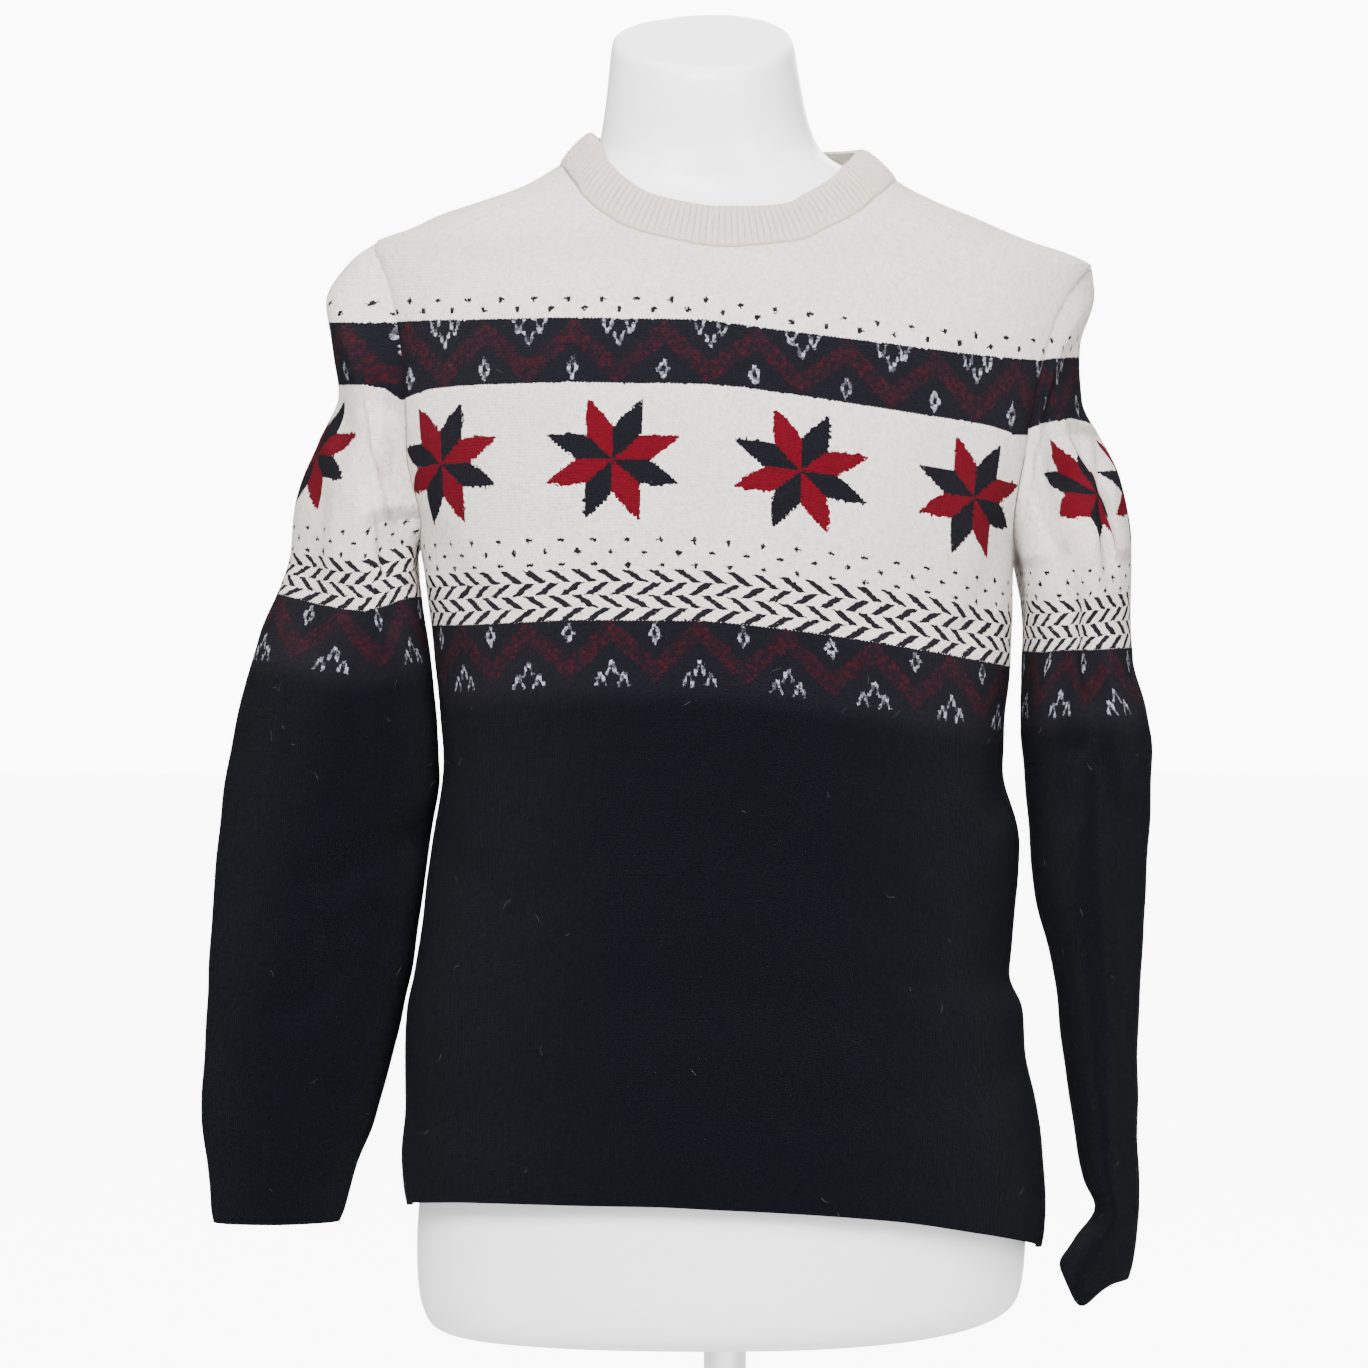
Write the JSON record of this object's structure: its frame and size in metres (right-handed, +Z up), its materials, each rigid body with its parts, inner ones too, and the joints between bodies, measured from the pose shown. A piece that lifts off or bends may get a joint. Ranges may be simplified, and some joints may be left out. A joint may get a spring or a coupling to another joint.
{
  "type": "christmas sweater on dress form",
  "caption": "Crew-neck knitted wool sweater with banded yoke and long sleeves, worn by a limbless dress form on a pole and round base.",
  "frame": {"origin": "centre of the base's underside, on the pole's axis", "axes": "+Z up along the pole, -Y towards the wearer's front, +X to the viewer's right seen from the front"},
  "size_m": [0.5829, 0.3, 1.0568],
  "materials": {
    "navy_wool": "felted knitted wool, navy body with a cream patterned yoke",
    "cream_rib": "cream ribbed wool",
    "white_torso": "smooth white, satin",
    "polished_steel": "polished"
  },
  "bodies": {
    "root": {"sweater_front": "navy_wool", "sweater_back": "navy_wool", "sleeve_right": "navy_wool", "sleeve_left": "navy_wool", "neckband": "cream_rib", "display_torso": "white_torso", "stand_pole": "polished_steel", "stand_base": "polished_steel"}
  },
  "joints": []
}
